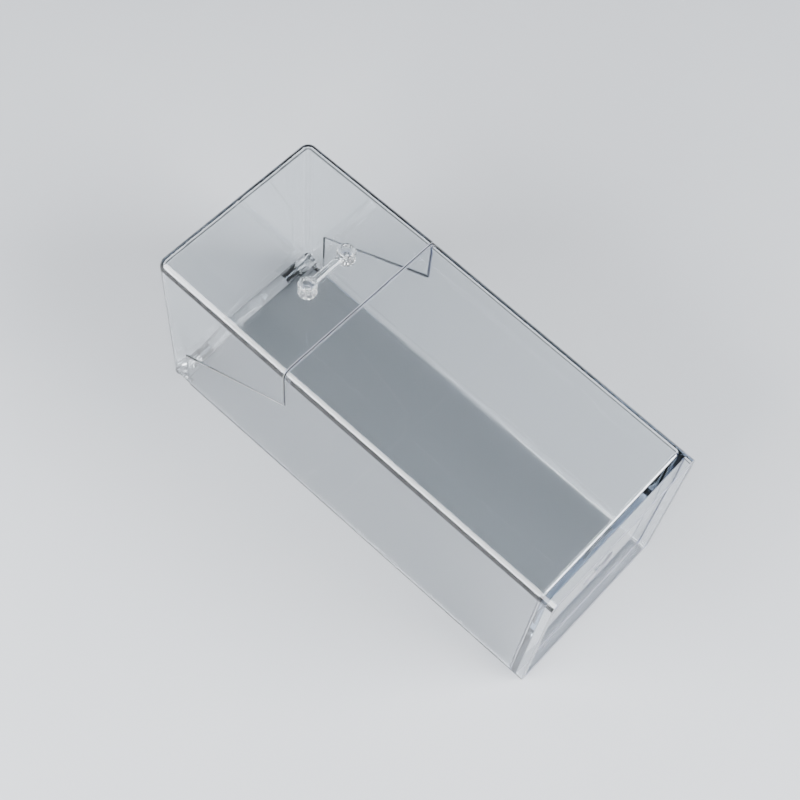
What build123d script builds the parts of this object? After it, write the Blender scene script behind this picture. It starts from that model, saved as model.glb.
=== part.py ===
from build123d import *
from math import pi, sqrt
import os

# A clear moulded holder with a flip lid, lying on its back panel.
# +X runs from the lid end to the base end, +Y across the width, +Z up from the back panel.
# The origin is under the middle of the object, on the surface that it lies on.
# Every "along" value is a distance from the outer face of the lid's end panel.

# Overall sizes, millimetres
length = 225.0
wall = 2.5
edge_radius = 5.0

# Half widths and heights of the tapered walls at their ends
base_half_width = 45.8
base_height = 99.0
ear_half_width = 47.3
mouth_half_width = 47.0
mouth_height = 100.4
lid_end_half_width = 46.8
lid_end_height = 100.0

# Side outline of the lid: a narrow ear at the hinge, then a slanted lower edge
ear_along = 13.5
ear_height = 33.0
mouth_along = 78.0
cheek_bottom = 71.0
joint_gap = 0.5
lid_corner_radius = 4.0

# Base end: floor set in behind a plain rim, with a moulding gate mark outside
floor_recess = 4.0
floor_thickness = 2.5
floor_fillet = 2.0
gate_ring_radius = 9.3
gate_ring_depth = 0.6
gate_nub_radius = 1.5
gate_nub_height = 0.5

# Hinge: a long barrel on the body between two knuckles on the lid
hinge_along = 4.5
hinge_height = 4.5
barrel_radius = 3.25
barrel_half_length = 34.0
knuckle_radius = 4.2
knuckle_gap = 0.3
pin_radius = 1.5
pin_in_barrel = 8.0
running_clearance = 0.06
glue_gap = 0.02
ear_sweep_radius = 8.9
panel_edge_height = 7.8
shoulder_along = 9.6
shoulder_half_width = 43.8

# Handle on the lid's top panel: two fluted posts and a round bar
handle_along = 57.5
post_spacing = 23.6
post_radius = 4.3
post_height = 7.6
flute_count = 12
flute_radius = 0.8
flute_depth = 0.45
flute_top = 6.0
crown_radius = 3.1
dimple_radius = 2.1
dimple_depth = 0.5
spigot_radius = 1.5
bar_radius = 1.8
bar_height = 4.0
bar_socket = 2.0

# Cutting solids reach this far past the faces they cut
reach = 10.0
# The container is shaped this far below its back panel and then trimmed flat
trim = 0.02

slant = (cheek_bottom - ear_height) / (mouth_along - ear_along)
body_taper = (ear_half_width - base_half_width) / (length - ear_along)
body_slope = (mouth_height - base_height) / (length - mouth_along)


def row_x(along):
    """Row X of a place given as a distance from the lid's end panel."""
    return along - length / 2


def body_half_width(along):
    return base_half_width + body_taper * (length - along)


def body_height(along):
    return base_height + body_slope * (length - along)


def lid_half_width(along):
    return lid_end_half_width + (mouth_half_width - lid_end_half_width) * along / mouth_along


def lid_height(along):
    return lid_end_height + (mouth_height - lid_end_height) * along / mouth_along


def section(along, half_width, height, inset, drop=0.0):
    """Rounded rectangle across the length, its outer size drawn in by inset.

    drop moves the bottom edge lower, for a block that is trimmed to shape later.
    """
    tall = height - 2 * inset + drop
    middle = inset - drop + tall / 2
    plane = Plane(origin=(row_x(along), 0, middle), x_dir=(0, 1, 0), z_dir=(1, 0, 0))
    return plane * RectangleRounded(2 * (half_width - inset), tall, edge_radius - inset)


def body_block(start, end, inset, drop=0.0):
    """Tapered block between two places on the body, its faces drawn in by inset."""
    sections = [section(at, body_half_width(at), body_height(at), inset, drop) for at in (start, end)]
    return loft(sections, ruled=True)


def lid_block(inset):
    """Tapered lid block whose end edges are rounded at the top and the sides only."""
    start = inset
    end = mouth_along + reach
    tall = loft(
        [section(at, lid_half_width(at), lid_height(at), inset, drop=2 * reach) for at in (start, end)],
        ruled=True,
    )
    end_edges = tall.faces().sort_by(Axis.X)[0].edges()
    tall = fillet(end_edges, edge_radius - inset)
    real = loft(
        [section(at, lid_half_width(at), lid_height(at), inset) for at in (start, end)],
        ruled=True,
    )
    return tall & real


def box_between(along, half_widths, heights, side=0):
    """Box from (start, end) pairs; side is 0 across the middle, or +1 or -1 for one side."""
    low, high = half_widths
    if side:
        y_low, y_high = sorted((side * low, side * high))
    else:
        y_low, y_high = -high, high
    size = (along[1] - along[0], y_high - y_low, heights[1] - heights[0])
    centre = (row_x(sum(along) / 2), (y_low + y_high) / 2, sum(heights) / 2)
    return Pos(*centre) * Box(*size)


def side_prism(outline):
    """Prism across the whole width from a closed outline of lines and arcs."""
    face = make_face(Plane(origin=(row_x(0), 0, 0), x_dir=(1, 0, 0), z_dir=(0, -1, 0)) * outline)
    return extrude(face, amount=ear_half_width + reach, both=True)


def lid_outline():
    """Side outline of the lid, rounded at its hinge corner so that it swings clear."""
    r = lid_corner_radius
    sweep_start = hinge_along + sqrt(ear_sweep_radius**2 - hinge_height**2)
    return Curve() + [
        Line((-reach, mouth_height + reach), (-reach, r)),
        Line((-reach, r), (0, r)),
        RadiusArc((0, r), (r, 0), r),
        Line((r, 0), (sweep_start, 0)),
        RadiusArc((sweep_start, 0), (ear_along, hinge_height), ear_sweep_radius),
        Line((ear_along, hinge_height), (ear_along, ear_height)),
        Line((ear_along, ear_height), (mouth_along, cheek_bottom)),
        Line((mouth_along, cheek_bottom), (mouth_along, mouth_height + reach)),
        Line((mouth_along, mouth_height + reach), (-reach, mouth_height + reach)),
    ]


def mouth_outline():
    """Side outline that the body leaves open: the lid's outline plus the joint gap."""
    drop = joint_gap * (sqrt(1 + slant**2) - slant)
    points = [
        (-reach, -reach),
        (ear_along + joint_gap, -reach),
        (ear_along + joint_gap, ear_height - drop),
        (mouth_along + joint_gap, cheek_bottom - drop),
        (mouth_along + joint_gap, mouth_height + reach),
        (-reach, mouth_height + reach),
    ]
    return Polyline(*points, close=True)


def hinge_cylinder(radius, start, end):
    """Cylinder on the hinge axis between two places across the width."""
    place = Pos(row_x(hinge_along), (start + end) / 2, hinge_height) * Rot(90, 0, 0)
    return place * Cylinder(radius, abs(end - start))


def make_body():
    """Container: four walls, a floor set into the base end, and the hinge barrel."""
    floor_inner = length - floor_recess - floor_thickness
    hollow = body_block(-reach, floor_inner, wall)
    hollow = fillet(hollow.faces().sort_by(Axis.X)[-1].edges(), floor_fillet)
    recess = body_block(length - floor_recess, length + reach, wall)
    back_reach = (hinge_along, mouth_along)
    tongue = box_between(back_reach, (0, barrel_half_length), (-reach, wall))
    shoulder = box_between((shoulder_along, mouth_along), (0, shoulder_half_width), (-reach, wall))
    opening = side_prism(mouth_outline()) - (tongue + shoulder)
    below = box_between((-2 * reach, length + reach), (0, ear_half_width + reach), (-reach, 0))
    body = body_block(-reach, length, 0, trim) - hollow - recess - opening - below
    body += hinge_cylinder(barrel_radius, -barrel_half_length, barrel_half_length)
    for side in (-1, 1):
        end = side * barrel_half_length
        bore_radius = pin_radius + running_clearance
        body -= hinge_cylinder(bore_radius, end - side * (pin_in_barrel + joint_gap), end + side)
    return body - gate_ring() + gate_nub()


def floor_place(depth):
    """Middle of the floor's outer face, moved into the floor by depth."""
    return Pos(row_x(length - floor_recess) - depth, 0, base_height / 2) * Rot(0, 90, 0)


def gate_ring():
    return floor_place(gate_ring_depth / 2) * Cylinder(gate_ring_radius, gate_ring_depth)


def gate_nub():
    height = gate_ring_depth + gate_nub_height
    return floor_place(gate_ring_depth - height / 2) * Cylinder(gate_nub_radius, height)


def make_lid():
    """Lid: top panel, end panel and two cheeks, with a knuckle at each end of the hinge."""
    lid = (lid_block(0) - lid_block(wall)) & side_prism(lid_outline())
    knuckle_start = barrel_half_length + knuckle_gap
    ear_inner = lid_end_half_width - wall
    ear_zone = (-reach, ear_along + reach)
    lid -= box_between(ear_zone, (0, knuckle_start), (-reach, panel_edge_height))
    for side in (-1, 1):
        lid -= box_between((wall, ear_along + reach), (knuckle_start, ear_inner), (-reach, wall), side)
        lid += hinge_cylinder(knuckle_radius, side * knuckle_start, side * (ear_inner + knuckle_gap))
        lid -= hinge_cylinder(pin_radius + glue_gap, side * (knuckle_start - 1), side * (ear_inner + reach))
    for place in post_places():
        lid -= place * Cylinder(spigot_radius + glue_gap, 4 * wall)
    return lid


def make_pin(side):
    """Hinge pin: fixed in the lid's knuckle, turning in the end of the barrel."""
    inner = barrel_half_length - pin_in_barrel
    return hinge_cylinder(pin_radius, side * inner, side * lid_end_half_width)


def top_of_lid():
    return lid_height(handle_along)


def post_places():
    """Foot of each handle post on the lid's top panel."""
    return [Pos(row_x(handle_along), side * post_spacing / 2, top_of_lid()) for side in (-1, 1)]


def fluted_stem():
    """Stem of a post: a round bar with grooves all round."""
    outline = Circle(post_radius)
    ring = post_radius + flute_radius - flute_depth
    outline -= PolarLocations(ring, flute_count) * Circle(flute_radius)
    return extrude(outline, flute_top)


def make_post(place, side):
    """Handle post: fluted stem, sloping crown with a dimple, and a spigot in the lid."""
    crown_height = post_height - flute_top
    crown = Pos(0, 0, flute_top + crown_height / 2) * Cone(post_radius - flute_depth, crown_radius, crown_height)
    dimple = Pos(0, 0, post_height - dimple_depth / 2) * Cylinder(dimple_radius, dimple_depth)
    spigot = Pos(0, 0, -wall / 2) * Cylinder(spigot_radius, wall)
    socket_middle = post_radius - bar_socket + reach / 2
    socket = Pos(0, -side * socket_middle, bar_height) * Rot(90, 0, 0) * Cylinder(bar_radius + glue_gap, reach)
    post = fluted_stem() + crown + spigot - dimple - socket
    # The lid's top panel slopes slightly, so the post stands a hair above it.
    return place * (Pos(0, 0, glue_gap) * post)


def make_bar():
    """Round bar between the two posts, glued into a blind hole in each."""
    bar_length = post_spacing - 2 * (post_radius - bar_socket) - 2 * glue_gap
    place = Pos(row_x(handle_along), 0, top_of_lid() + bar_height + glue_gap) * Rot(90, 0, 0)
    return place * Cylinder(bar_radius, bar_length)


def main():
    os.makedirs("parts", exist_ok=True)
    left_post, right_post = post_places()
    parts = {
        "body": make_body(),
        "lid": make_lid(),
        "hinge_pin_left": make_pin(-1),
        "hinge_pin_right": make_pin(1),
        "handle_post_left": make_post(left_post, -1),
        "handle_post_right": make_post(right_post, 1),
        "handle_bar": make_bar(),
    }
    for name, shape in parts.items():
        export_step(shape, f"parts/{name}.step")


main()
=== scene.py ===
import logging
import math
from dataclasses import dataclass, field
from enum import Enum
from typing import Sequence

import bmesh
import bpy
from mathutils import Matrix, Vector


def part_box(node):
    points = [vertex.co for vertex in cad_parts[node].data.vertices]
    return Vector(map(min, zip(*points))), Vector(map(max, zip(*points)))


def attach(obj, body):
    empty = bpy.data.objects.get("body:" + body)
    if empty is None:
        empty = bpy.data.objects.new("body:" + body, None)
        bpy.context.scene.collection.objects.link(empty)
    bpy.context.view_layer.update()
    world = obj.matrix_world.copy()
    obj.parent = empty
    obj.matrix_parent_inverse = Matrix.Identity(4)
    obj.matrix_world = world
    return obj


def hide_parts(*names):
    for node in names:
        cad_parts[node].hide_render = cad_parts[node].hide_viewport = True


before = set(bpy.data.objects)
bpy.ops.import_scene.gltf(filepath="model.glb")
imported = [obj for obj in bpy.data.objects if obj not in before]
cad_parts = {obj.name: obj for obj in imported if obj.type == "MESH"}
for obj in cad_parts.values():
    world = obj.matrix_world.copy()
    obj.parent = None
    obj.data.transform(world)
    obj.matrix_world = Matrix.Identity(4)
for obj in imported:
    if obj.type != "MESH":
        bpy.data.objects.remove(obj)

LOG = logging.getLogger("pick_holder")
MM = 0.001
SHELL_EDGE_RADIUS = 0.3
TRIM_EDGE_RADIUS = 0.12


class Body(Enum):
    """The rigid bodies that pieces ride on."""

    CONTAINER = "container"
    LID = "flip_lid"


class Slot(Enum):
    """The record's material slots."""

    SHELL = "clear_shell"
    TRIM = "clear_trim"


def linear_colour(hex_colour: str, alpha: float = 1.0) -> tuple[float, float, float, float]:
    """Turns an sRGB hex colour into a linear one.

    Args:
        hex_colour: Six hex digits, such as "F4F8FB".
        alpha: The fourth number of the result.

    Returns:
        Linear red, green and blue, and alpha.
    """
    channels = [int(hex_colour[i:i + 2], 16) / 255 for i in (0, 2, 4)]
    linear = [c / 12.92 if c <= 0.04045 else ((c + 0.055) / 1.055) ** 2.4 for c in channels]
    return linear[0], linear[1], linear[2], alpha


def add_node(
    tree: bpy.types.NodeTree,
    kind: str,
    settings: dict[str, object] | None = None,
    inputs: dict[str | int, object] | None = None,
) -> bpy.types.Node:
    """Adds one node with its settings, its socket values and its links.

    Args:
        tree: The tree that gets the node.
        kind: Blender's name for the node's type.
        settings: The node's own properties.
        inputs: A value or an output socket for each input socket, by name or place.

    Returns:
        The new node.
    """
    node = tree.nodes.new(kind)
    for name, value in (settings or {}).items():
        setattr(node, name, value)
    for key, value in (inputs or {}).items():
        socket = node.inputs[key]
        if isinstance(value, bpy.types.NodeSocket):
            tree.links.new(value, socket)
        else:
            socket.default_value = value
    return node


@dataclass(frozen=True)
class ClearPlastic:
    """Water-white polystyrene, injection moulded in a polished tool.

    It is nearly invisible face on. What the eye gets is the bright line on every moulded edge,
    a blue cast where light runs a long way inside a wall, slow waves in each reflection from
    the melt's flow, and faint rubs and hairlines from handling.
    """

    name: str
    # Slow flow waves. Deeper ones would bend what is seen through a thin wall.
    wave_size: float = 42.0
    wave_depth: float = 0.05
    ripple_size: float = 3.2
    ripple_depth: float = 0.0
    ripple_top: float = 46.0
    ripple_full: float = 0.4
    rub_size: float = 16.0
    rub_starts: float = 0.46
    rub_full: float = 0.78
    # Specks and hairlines are both drawn coarser than real ones, so that they show.
    speck_spacing: float = 9.0
    speck_radius: float = 0.22
    speck_core: float = 0.6
    speck_roughness: float = 0.5
    hairline_size: float = 0.5
    hairline_stretch: float = 60.0
    hairline_starts: float = 0.70
    hairline_full: float = 0.76
    hairline_roughness: float = 0.18
    hairline_strength: float = 0.12
    hairline_depth: float = 0.02
    hairline_turn: tuple[float, float, float] = (0.05, 0.08, 0.16)
    roughness_clean: float = 0.01
    roughness_rubbed: float = 0.045
    tint: str = "FBFDFE"
    edge_tint: str = "C9E0F8"
    edge_density: float = 10.0
    clearness: float = 1.0
    ior: float = 1.59

    def build(self) -> bpy.types.Material:
        """Makes the material.

        Returns:
            The new material.
        """
        material = bpy.data.materials.new(self.name)
        material.use_nodes = True
        tree = material.node_tree
        tree.nodes.clear()
        place = add_node(tree, "ShaderNodeTexCoord").outputs["Object"]
        waves = add_node(tree, "ShaderNodeTexNoise", {"noise_dimensions": "3D"}, {
            "Vector": place, "Scale": 1 / (self.wave_size * MM), "Detail": 1.0, "Roughness": 0.4})
        rubs = add_node(tree, "ShaderNodeTexNoise", {"noise_dimensions": "3D"}, {
            "Vector": place, "Scale": 1 / (self.rub_size * MM), "Detail": 5.0, "Roughness": 0.62})
        rub_mask = add_node(tree, "ShaderNodeMapRange", {"interpolation_type": "SMOOTHSTEP"}, {
            "Value": rubs.outputs["Fac"], "From Min": self.rub_starts,
            "From Max": self.rub_full, "To Min": 0.0, "To Max": 1.0})
        hairs = self.hairlines(tree, place)
        roughness = add_node(tree, "ShaderNodeMapRange", {}, {
            "Value": rub_mask.outputs["Result"],
            "To Min": self.roughness_clean, "To Max": self.roughness_rubbed})
        with_hairs = add_node(tree, "ShaderNodeMath", {"operation": "MULTIPLY_ADD"}, {
            0: hairs, 1: self.hairline_roughness, 2: roughness.outputs["Result"]})
        rough_sum = add_node(tree, "ShaderNodeMath", {"operation": "MULTIPLY_ADD"}, {
            0: self.specks(tree, place), 1: self.speck_roughness,
            2: with_hairs.outputs["Value"]})
        wave_bump = add_node(tree, "ShaderNodeBump", {}, {
            "Height": waves.outputs["Fac"], "Strength": 1.0, "Distance": self.wave_depth * MM})
        ripple_bump = add_node(tree, "ShaderNodeBump", {}, {
            "Height": self.ripples(tree, place), "Strength": 1.0,
            "Distance": self.ripple_depth * MM, "Normal": wave_bump.outputs["Normal"]})
        hair_bump = add_node(tree, "ShaderNodeBump", {"invert": True}, {
            "Height": hairs, "Strength": self.hairline_strength,
            "Distance": self.hairline_depth * MM, "Normal": ripple_bump.outputs["Normal"]})
        surface = add_node(tree, "ShaderNodeBsdfPrincipled", {}, {
            "Base Color": linear_colour(self.tint), "Roughness": rough_sum.outputs["Value"],
            "IOR": self.ior, "Transmission Weight": self.clearness,
            "Normal": hair_bump.outputs["Normal"]})
        inside = add_node(tree, "ShaderNodeVolumeAbsorption", {}, {
            "Color": linear_colour(self.edge_tint), "Density": self.edge_density})
        add_node(tree, "ShaderNodeOutputMaterial", {}, {
            "Surface": surface.outputs["BSDF"], "Volume": inside.outputs["Volume"]})
        return material

    def specks(
        self, tree: bpy.types.NodeTree, place: bpy.types.NodeSocket
    ) -> bpy.types.NodeSocket:
        """Adds sparse specks of dust and tiny pits.

        Args:
            tree: The material's tree.
            place: The socket that gives the place on the object.

        Returns:
            A socket that is 1 on a speck and 0 off it.
        """
        cells = add_node(tree, "ShaderNodeTexVoronoi", {"feature": "F1"}, {
            "Vector": place, "Scale": 1 / (self.speck_spacing * MM), "Randomness": 1.0})
        edge = self.speck_radius / self.speck_spacing
        dots = add_node(tree, "ShaderNodeMapRange", {"interpolation_type": "SMOOTHSTEP"}, {
            "Value": cells.outputs["Distance"], "From Min": edge * self.speck_core, "From Max": edge,
            "To Min": 1.0, "To Max": 0.0})
        return dots.outputs["Result"]

    def ripples(
        self, tree: bpy.types.NodeTree, place: bpy.types.NodeSocket
    ) -> bpy.types.NodeSocket:
        """Adds the ripples that the melt leaves low on the piece, where it fills last.

        Args:
            tree: The material's tree.
            place: The socket that gives the place on the object.

        Returns:
            A socket with the ripples' height, which fades to an even level above them.
        """
        noise = add_node(tree, "ShaderNodeTexNoise", {"noise_dimensions": "3D"}, {
            "Vector": place, "Scale": 1 / (self.ripple_size * MM), "Detail": 1.0})
        height = add_node(tree, "ShaderNodeSeparateXYZ", {}, {"Vector": place})
        fade = add_node(tree, "ShaderNodeMapRange", {"interpolation_type": "SMOOTHSTEP"}, {
            "Value": height.outputs["Z"], "From Min": self.ripple_top * self.ripple_full * MM,
            "From Max": self.ripple_top * MM, "To Min": 1.0, "To Max": 0.0})
        faded = add_node(tree, "ShaderNodeMath", {"operation": "MULTIPLY"}, {
            0: noise.outputs["Fac"], 1: fade.outputs["Result"]})
        return faded.outputs["Value"]

    def hairlines(
        self, tree: bpy.types.NodeTree, place: bpy.types.NodeSocket
    ) -> bpy.types.NodeSocket:
        """Adds handling hairlines, mostly along the object's length.

        Args:
            tree: The material's tree.
            place: The socket that gives the place on the object.

        Returns:
            A socket that is 1 on a hairline and 0 off it.
        """
        turned = add_node(tree, "ShaderNodeMapping", {}, {
            "Vector": place, "Rotation": self.hairline_turn,
            "Scale": (1 / self.hairline_stretch, 1.0, 1.0)})
        streaks = add_node(tree, "ShaderNodeTexNoise", {"noise_dimensions": "3D"}, {
            "Vector": turned.outputs["Vector"], "Scale": 1 / (self.hairline_size * MM),
            "Detail": 2.0, "Roughness": 0.5})
        lines = add_node(tree, "ShaderNodeMapRange", {"interpolation_type": "SMOOTHSTEP"}, {
            "Value": streaks.outputs["Fac"], "From Min": self.hairline_starts,
            "From Max": self.hairline_full})
        return lines.outputs["Result"]


@dataclass(frozen=True)
class MattePaperSweep:
    """Pale seamless paper, calendered smooth, with a soft mottle too weak to distract."""

    name: str = "pale_paper_sweep"
    light: str = "C6C9CE"
    dark: str = "C0C4CA"
    mottle_size: float = 80.0
    roughness: float = 0.55

    def build(self) -> bpy.types.Material:
        """Makes the material.

        Returns:
            The new material.
        """
        material = bpy.data.materials.new(self.name)
        material.use_nodes = True
        tree = material.node_tree
        tree.nodes.clear()
        place = add_node(tree, "ShaderNodeTexCoord").outputs["Object"]
        mottle = add_node(tree, "ShaderNodeTexNoise", {}, {
            "Vector": place, "Scale": 1 / (self.mottle_size * MM), "Detail": 3.0})
        colour = add_node(tree, "ShaderNodeMix", {"data_type": "RGBA"}, {
            0: mottle.outputs["Fac"], 6: linear_colour(self.dark), 7: linear_colour(self.light)})
        surface = add_node(tree, "ShaderNodeBsdfPrincipled", {}, {
            "Base Color": colour.outputs[2], "Roughness": self.roughness})
        add_node(tree, "ShaderNodeOutputMaterial", {}, {"Surface": surface.outputs["BSDF"]})
        return material


def link(piece: bpy.types.Object) -> bpy.types.Object:
    """Puts an object in the scene and returns it."""
    bpy.context.scene.collection.objects.link(piece)
    return piece


def set_material(piece: bpy.types.Object, material: bpy.types.Material) -> None:
    """Gives a piece one material.

    Args:
        piece: The object to dress.
        material: Its only material.
    """
    piece.data.materials.clear()
    piece.data.materials.append(material)
    for polygon in piece.data.polygons:
        polygon.material_index = 0


@dataclass
class MouldedPiece:
    """A moulding with its CAD shape and the tiny radius that every moulded edge has."""

    node: str
    name: str
    body: Body
    slot: Slot
    material: bpy.types.Material
    edge_material: bpy.types.Material
    edge_radius: float
    edge_steps: int = 2
    edge_angle: float = 28.0
    # Short edges meet at the hinge corners. Softened, they would throw out thin spikes, so on
    # the container and the lid they stay as sharp as they are cut.
    hinge_along: float = -94.0
    hinge_height: float = 14.0
    weld: float = 0.002
    flat_angle: float = 0.3

    def build(self) -> bpy.types.Object:
        """Copies the node's mesh, joins its triangles and softens its sharp edges.

        Returns:
            The finished piece.
        """
        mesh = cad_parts[self.node].data.copy()
        mesh.name = self.name
        self.clean(mesh)
        piece = link(bpy.data.objects.new(self.name, mesh))
        set_material(piece, self.material)
        mesh.materials.append(self.edge_material)
        bevel = piece.modifiers.new("moulded edge", "BEVEL")
        bevel.width = self.edge_radius * MM
        bevel.segments = self.edge_steps
        bevel.limit_method = "WEIGHT"
        bevel.use_clamp_overlap = False
        bevel.material = 1
        shading = piece.modifiers.new("flat walls stay flat", "WEIGHTED_NORMAL")
        shading.mode = "FACE_AREA"
        shading.weight = 100
        shading.keep_sharp = True
        finished = bpy.data.meshes.new_from_object(
            piece.evaluated_get(bpy.context.evaluated_depsgraph_get()))
        piece.modifiers.clear()
        piece.data = finished
        piece.data.name = self.name
        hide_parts(self.node)
        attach(piece, self.body.value)
        LOG.info("%s: %d faces", self.name, len(finished.polygons))
        return piece

    def clean(self, mesh: bpy.types.Mesh) -> None:
        """Joins loose triangles, merges flat ones and marks the edges to soften.

        Args:
            mesh: The mesh to change.
        """
        shape = bmesh.new()
        shape.from_mesh(mesh)
        bmesh.ops.remove_doubles(shape, verts=shape.verts, dist=self.weld * MM)
        bmesh.ops.dissolve_limit(
            shape, angle_limit=math.radians(self.flat_angle), verts=shape.verts,
            edges=shape.edges)
        softened = shape.edges.layers.float.new("bevel_weight_edge")
        for edge in shape.edges:
            angle = edge.calc_face_angle(0.0)
            at_hinge = any(
                end.co.x < self.hinge_along * MM and end.co.z < self.hinge_height * MM
                for end in edge.verts)
            may_soften = self.slot is Slot.TRIM or not at_hinge
            if angle > math.radians(self.edge_angle) and may_soften:
                edge[softened] = 1.0
        for face in shape.faces:
            face.smooth = True
        shape.to_mesh(mesh)
        shape.free()


@dataclass
class FlutedPosts:
    """The handle's two posts: fluted stems with a rounded, dimpled crown and a spigot below.

    A grid is rolled round the profile, grooved by a rule and drilled for the bar. The pair
    faces inwards, half a turn apart.
    """

    left_node: str
    right_node: str
    material: bpy.types.Material
    name: str = "handle_posts_fluted"
    body: Body = Body.LID
    slot: Slot = Slot.TRIM
    radius: float = 4.3
    height: float = 7.6
    spigot_length: float = 2.5
    flutes: int = 12
    flute_depth: float = 0.55
    flute_share: float = 0.82
    socket_radius: float = 1.82
    socket_depth: float = 2.0
    bar_height: float = 4.02
    around_flute: int = 12
    rings_per_span: int = 3
    around_drill: int = 48
    sharp_angle: float = 32.0
    weld: float = 0.005
    # Radius and height of each point, from the spigot's end up to the dimple. A curve node is
    # exact at 256ths, so the profile has 16 spans and its corners stay sharp.
    profile: Sequence[tuple[float, float]] = (
        (0.0, -2.5), (1.35, -2.5), (1.5, -2.35), (1.5, 0.0), (4.15, 0.0), (4.3, 0.2),
        (4.3, 3.0), (4.3, 5.7), (4.22, 6.3), (3.95, 6.85), (3.5, 7.3), (2.95, 7.6),
        (2.25, 7.6), (2.1, 7.5), (2.05, 7.1), (1.0, 7.06), (0.0, 7.05))
    flute_reach: Sequence[float] = (
        0.0, 0.0, 0.0, 0.0, 0.0, 0.8, 1.0, 1.0, 0.75, 0.3, 0.0, 0.0, 0.0, 0.0, 0.0, 0.0, 0.0)

    def build(self) -> bpy.types.Object:
        """Grows the pair of posts at their CAD places.

        Returns:
            The finished piece.
        """
        feet = [self.foot(node) for node in (self.left_node, self.right_node)]
        carrier = link(bpy.data.objects.new("post_carrier", bpy.data.meshes.new("post_carrier")))
        tree = self.tree()
        grower = carrier.modifiers.new("fluted posts", "NODES")
        grower.node_group = tree
        values = {
            "Left Foot": feet[0], "Right Foot": feet[1], "Radius": self.radius * MM,
            "Tall": (self.height + self.spigot_length) * MM,
            "Spigot": self.spigot_length * MM, "Flutes": self.flutes,
            "Flute Depth": self.flute_depth * MM, "Flute Share": self.flute_share,
            "Around": self.flutes * self.around_flute + 1,
            "Rings": (len(self.profile) - 1) * self.rings_per_span + 1,
            "Socket Radius": self.socket_radius * MM, "Socket Depth": self.socket_depth * MM,
            "Bar Height": self.bar_height * MM, "Material": self.material}
        for socket in tree.interface.items_tree:
            if socket.in_out == "INPUT":
                grower[socket.identifier] = values[socket.name]
        finished = bpy.data.meshes.new_from_object(
            carrier.evaluated_get(bpy.context.evaluated_depsgraph_get()))
        bpy.data.objects.remove(carrier)
        finished.name = self.name
        finished.shade_smooth()
        finished.set_sharp_from_angle(angle=math.radians(self.sharp_angle))
        piece = link(bpy.data.objects.new(self.name, finished))
        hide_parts(self.left_node, self.right_node)
        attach(piece, self.body.value)
        LOG.info("%s: %d faces", self.name, len(finished.polygons))
        return piece

    def foot(self, node: str) -> Vector:
        """Gives the middle of a post's foot, where it stands on the lid.

        Args:
            node: The post's CAD node.

        Returns:
            The place in metres.
        """
        low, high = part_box(node)
        middle = (low + high) / 2
        return Vector((middle.x, middle.y, high.z - self.height * MM))

    def tree(self) -> bpy.types.NodeTree:
        """Builds the tree that grows both posts.

        Returns:
            The Geometry Nodes tree.
        """
        tree = bpy.data.node_groups.new("fluted_posts", "GeometryNodeTree")
        tree.interface.new_socket("Posts", in_out="OUTPUT", socket_type="NodeSocketGeometry")
        for name, kind in (
            ("Left Foot", "Vector"), ("Right Foot", "Vector"), ("Radius", "Float"),
            ("Tall", "Float"), ("Spigot", "Float"), ("Flutes", "Int"), ("Flute Depth", "Float"),
            ("Flute Share", "Float"), ("Around", "Int"), ("Rings", "Int"),
            ("Socket Radius", "Float"), ("Socket Depth", "Float"), ("Bar Height", "Float"),
            ("Material", "Material"),
        ):
            tree.interface.new_socket(name, in_out="INPUT", socket_type=f"NodeSocket{kind}")
        given = add_node(tree, "NodeGroupInput").outputs
        stem = self.rolled_stem(tree, given)
        drilled = self.drilled(tree, given, stem)
        feet = add_node(tree, "GeometryNodeMeshLine", {"mode": "END_POINTS"}, {
            "Count": 2, "Start Location": given["Left Foot"], "Offset": given["Right Foot"]})
        index = add_node(tree, "GeometryNodeInputIndex").outputs["Index"]
        half_turn = self.maths(tree, "MULTIPLY", index, math.pi)
        turn = add_node(tree, "ShaderNodeCombineXYZ", {}, {"Z": half_turn})
        pair = add_node(tree, "GeometryNodeInstanceOnPoints", {}, {
            "Points": feet.outputs["Mesh"], "Instance": drilled,
            "Rotation": turn.outputs["Vector"]})
        real = add_node(tree, "GeometryNodeRealizeInstances", {}, {
            "Geometry": pair.outputs["Instances"]})
        dressed = add_node(tree, "GeometryNodeSetMaterial", {}, {
            "Geometry": real.outputs["Geometry"], "Material": given["Material"]})
        add_node(tree, "NodeGroupOutput", {}, {"Posts": dressed.outputs["Geometry"]})
        return tree

    def maths(
        self, tree: bpy.types.NodeTree, operation: str, first: object, second: object = 0.0,
        third: object = 0.0,
    ) -> bpy.types.NodeSocket:
        """Adds one step of arithmetic.

        Args:
            tree: The tree that gets the step.
            operation: The Math node's operation.
            first: Its first value or socket.
            second: Its second value or socket.
            third: Its third value or socket.

        Returns:
            The result's socket.
        """
        return add_node(tree, "ShaderNodeMath", {"operation": operation}, {
            0: first, 1: second, 2: third}).outputs["Value"]

    def along_profile(
        self, tree: bpy.types.NodeTree, share: bpy.types.NodeSocket, values: Sequence[float]
    ) -> bpy.types.NodeSocket:
        """Looks up a value along the profile, straight from each point to the next.

        Args:
            tree: The tree that gets the node.
            share: How far along the profile, from 0 to 1.
            values: The values, evenly spread along the profile, each from 0 to 1.

        Returns:
            The value's socket.
        """
        node = add_node(tree, "ShaderNodeFloatCurve", {}, {"Value": share})
        curve = node.mapping.curves[0]
        last = len(values) - 1
        curve.points[0].location = (0.0, values[0])
        curve.points[-1].location = (1.0, values[last])
        for i in range(1, last):
            curve.points.new(i / last, values[i])
        for point in curve.points:
            point.handle_type = "VECTOR"
        node.mapping.update()
        return node.outputs["Value"]

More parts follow.
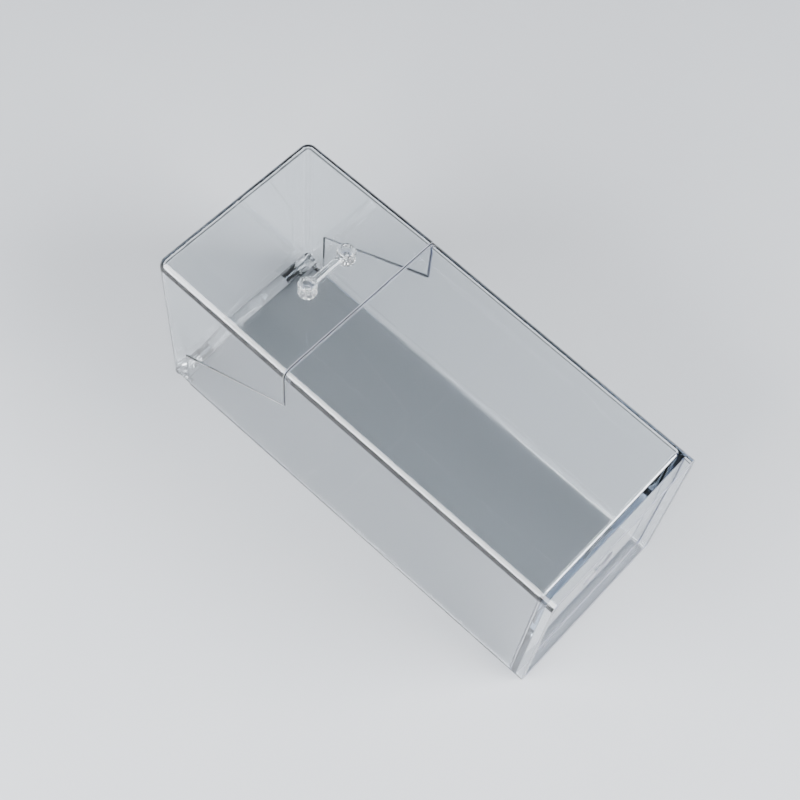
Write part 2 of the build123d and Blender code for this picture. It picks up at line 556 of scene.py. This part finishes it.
    def rolled_stem(
        self, tree: bpy.types.NodeTree, given: bpy.types.NodeOutputs
    ) -> bpy.types.NodeSocket:
        """Rolls a grid into one post with its foot at the origin.

        Args:
            tree: The tree that gets the nodes.
            given: The tree's named inputs.

        Returns:
            The post's geometry socket.
        """
        sheet = add_node(tree, "GeometryNodeMeshGrid", {}, {
            "Size X": 1.0, "Size Y": 1.0, "Vertices X": given["Around"],
            "Vertices Y": given["Rings"]})
        flat = add_node(tree, "ShaderNodeSeparateXYZ", {}, {
            "Vector": add_node(tree, "GeometryNodeInputPosition").outputs["Position"]})
        round_share = self.maths(tree, "ADD", flat.outputs["X"], 0.5)
        up_share = self.maths(tree, "ADD", flat.outputs["Y"], 0.5)
        tall = self.height + self.spigot_length
        radius_share = self.along_profile(
            tree, up_share, [r / self.radius for r, _ in self.profile])
        height_share = self.along_profile(
            tree, up_share, [(z + self.spigot_length) / tall for _, z in self.profile])
        reach = self.along_profile(tree, up_share, self.flute_reach)
        radius = self.maths(tree, "MULTIPLY", radius_share, given["Radius"])
        turns = self.maths(tree, "MULTIPLY", round_share, given["Flutes"])
        across = self.maths(
            tree, "MULTIPLY_ADD", self.maths(tree, "FRACT", turns), 2.0, -1.0)
        spread = self.maths(tree, "DIVIDE", across, given["Flute Share"])
        hollow = self.maths(
            tree, "MAXIMUM",
            self.maths(tree, "SUBTRACT", 1.0, self.maths(tree, "MULTIPLY", spread, spread)), 0.0)
        cut = self.maths(tree, "MULTIPLY", self.maths(tree, "MULTIPLY", hollow, reach),
                         given["Flute Depth"])
        grooved = self.maths(tree, "SUBTRACT", radius, cut)
        angle = self.maths(tree, "MULTIPLY", round_share, 2 * math.pi)
        height = self.maths(
            tree, "SUBTRACT", self.maths(tree, "MULTIPLY", height_share, given["Tall"]),
            given["Spigot"])
        place = add_node(tree, "ShaderNodeCombineXYZ", {}, {
            "X": self.maths(tree, "MULTIPLY", grooved, self.maths(tree, "COSINE", angle)),
            "Y": self.maths(tree, "MULTIPLY", grooved, self.maths(tree, "SINE", angle)),
            "Z": height})
        rolled = add_node(tree, "GeometryNodeSetPosition", {}, {
            "Geometry": sheet.outputs["Mesh"], "Position": place.outputs["Vector"]})
        closed = add_node(tree, "GeometryNodeMergeByDistance", {}, {
            "Geometry": rolled.outputs["Geometry"], "Distance": self.weld * MM})
        return closed.outputs["Geometry"]

    def drilled(
        self, tree: bpy.types.NodeTree, given: bpy.types.NodeOutputs,
        stem: bpy.types.NodeSocket,
    ) -> bpy.types.NodeSocket:
        """Cuts the blind hole that the bar's end stands in, on the side towards +Y.

        Args:
            tree: The tree that gets the nodes.
            given: The tree's named inputs.
            stem: The post's geometry socket.

        Returns:
            The drilled post's geometry socket.
        """
        drill = add_node(tree, "GeometryNodeMeshCylinder", {}, {
            "Vertices": self.around_drill, "Radius": given["Socket Radius"], "Depth": given["Radius"]})
        middle = self.maths(
            tree, "SUBTRACT", self.maths(tree, "MULTIPLY", given["Radius"], 1.5),
            given["Socket Depth"])
        place = add_node(tree, "ShaderNodeCombineXYZ", {}, {
            "Y": middle, "Z": given["Bar Height"]})
        laid = add_node(tree, "GeometryNodeTransform", {}, {
            "Geometry": drill.outputs["Mesh"], "Translation": place.outputs["Vector"],
            "Rotation": (math.pi / 2, 0.0, 0.0)})
        cut = add_node(tree, "GeometryNodeMeshBoolean", {"operation": "DIFFERENCE"}, {
            "Mesh 1": stem, "Mesh 2": laid.outputs["Geometry"]})
        return cut.outputs["Mesh"]


@dataclass
class StudioCamera:
    """A longer lens, looking down over the near corner of the lid end."""

    aim: tuple[float, float, float] = (-7.1, -0.9, 50.0)
    distance: float = 668.5
    azimuth: float = 36.28
    elevation: float = 62.74
    roll: float = 7.59
    lens: float = 66.94
    sensor: float = 36.0
    clip_start: float = 10.0

    def build(self) -> bpy.types.Object:
        """Makes the scene's camera.

        Returns:
            The camera.
        """
        a, e, r = (math.radians(v) for v in (self.azimuth, self.elevation, self.roll))
        back = Vector((math.sin(a) * math.cos(e), -math.cos(a) * math.cos(e), math.sin(e)))
        level = Vector((math.cos(a), math.sin(a), 0))
        upright = back.cross(level)
        right = math.cos(r) * level + math.sin(r) * upright
        up = back.cross(right)
        data = bpy.data.cameras.new("studio_camera")
        data.lens = self.lens
        data.sensor_width = self.sensor
        data.clip_start = self.clip_start * MM
        camera = link(bpy.data.objects.new("studio_camera", data))
        turn = Matrix((right, up, back)).transposed().to_4x4()
        place = Vector(self.aim) * MM + back * self.distance * MM
        camera.matrix_world = Matrix.Translation(place) @ turn
        bpy.context.scene.camera = camera
        return camera


@dataclass
class SoftBox:
    """One rectangular studio light."""

    name: str
    place: tuple[float, float, float]
    target: tuple[float, float, float]
    size: tuple[float, float]
    power: float
    colour: str = "FFFFFF"

    def build(self) -> bpy.types.Object:
        """Makes the light and turns it to its target.

        Returns:
            The light.
        """
        data = bpy.data.lights.new(self.name, "AREA")
        data.shape = "RECTANGLE"
        data.size = self.size[0]
        data.size_y = self.size[1]
        data.energy = self.power
        data.color = linear_colour(self.colour)[:3]
        lamp = link(bpy.data.objects.new(self.name, data))
        lamp.location = self.place
        direction = Vector(self.target) - Vector(self.place)
        lamp.rotation_euler = direction.to_track_quat("-Z", "Y").to_euler()
        return lamp


@dataclass
class Studio:
    """Pale floor, soft lights and a plain grey room."""

    floor_half: float = 3.0
    floor_drop: float = 0.1
    room_colour: str = "AEB4BB"
    room_strength: float = 0.55
    lights: Sequence[SoftBox] = field(default_factory=lambda: (
        SoftBox("edge_light", (-0.24, -0.82, 0.46), (0.0, 0.0, 0.07), (0.9, 0.7), 30.0),
        SoftBox("top_light", (0.60, -0.75, 1.50), (0.0, 0.0, 0.0), (0.8, 0.8), 10.0),
        SoftBox("base_light", (0.90, 0.40, 0.58), (0.1, 0.0, 0.08), (0.8, 1.0), 40.0),
    ))

    def build(self) -> None:
        """Makes the floor, the lights and the room's light."""
        h = self.floor_half
        mesh = bpy.data.meshes.new("floor")
        mesh.from_pydata([(-h, -h, 0), (h, -h, 0), (h, h, 0), (-h, h, 0)], [], [(0, 1, 2, 3)])
        mesh.transform(Matrix.Translation((0, 0, -self.floor_drop * MM)))
        floor = link(bpy.data.objects.new("floor", mesh))
        set_material(floor, MattePaperSweep().build())
        for lamp in self.lights:
            lamp.build()
        world = bpy.data.worlds.new("room")
        world.use_nodes = True
        bpy.context.scene.world = world
        tree = world.node_tree
        tree.nodes.clear()
        shade = add_node(tree, "ShaderNodeBackground", {}, {
            "Color": linear_colour(self.room_colour), "Strength": self.room_strength})
        add_node(tree, "ShaderNodeOutputWorld", {}, {"Surface": shade.outputs["Background"]})


def main() -> None:
    """Builds every class in order and reports each piece."""
    logging.basicConfig(level=logging.INFO, format="%(name)s: %(message)s")
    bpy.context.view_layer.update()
    StudioCamera().build()
    Studio().build()
    shell = ClearPlastic("moulded_clear_polystyrene").build()
    lid_shell = ClearPlastic("moulded_clear_polystyrene_rippled", ripple_depth=0.02).build()
    trim = ClearPlastic(
        "polished_clear_polystyrene", wave_size=9.0, rub_size=6.0, edge_density=1.5).build()
    # The edges that the mould leaves are a little frosted, which draws each one as a fine line.
    edge = ClearPlastic(
        "parting_edge_clear_polystyrene", roughness_clean=0.3, roughness_rubbed=0.42,
        clearness=0.8).build()
    FlutedPosts("handle_post_left", "handle_post_right", trim).build()
    for node, body, slot, material in (
        ("body", Body.CONTAINER, Slot.SHELL, shell),
        ("lid", Body.LID, Slot.SHELL, lid_shell),
        ("hinge_pin_left", Body.LID, Slot.TRIM, trim),
        ("hinge_pin_right", Body.LID, Slot.TRIM, trim),
        ("handle_bar", Body.LID, Slot.TRIM, trim),
    ):
        is_shell = slot is Slot.SHELL
        radius = SHELL_EDGE_RADIUS if is_shell else TRIM_EDGE_RADIUS
        edge_material = edge if is_shell else trim
        MouldedPiece(
            node, node + "_moulded", body, slot, material, edge_material, radius).build()


if __name__ == "__main__":
    main()
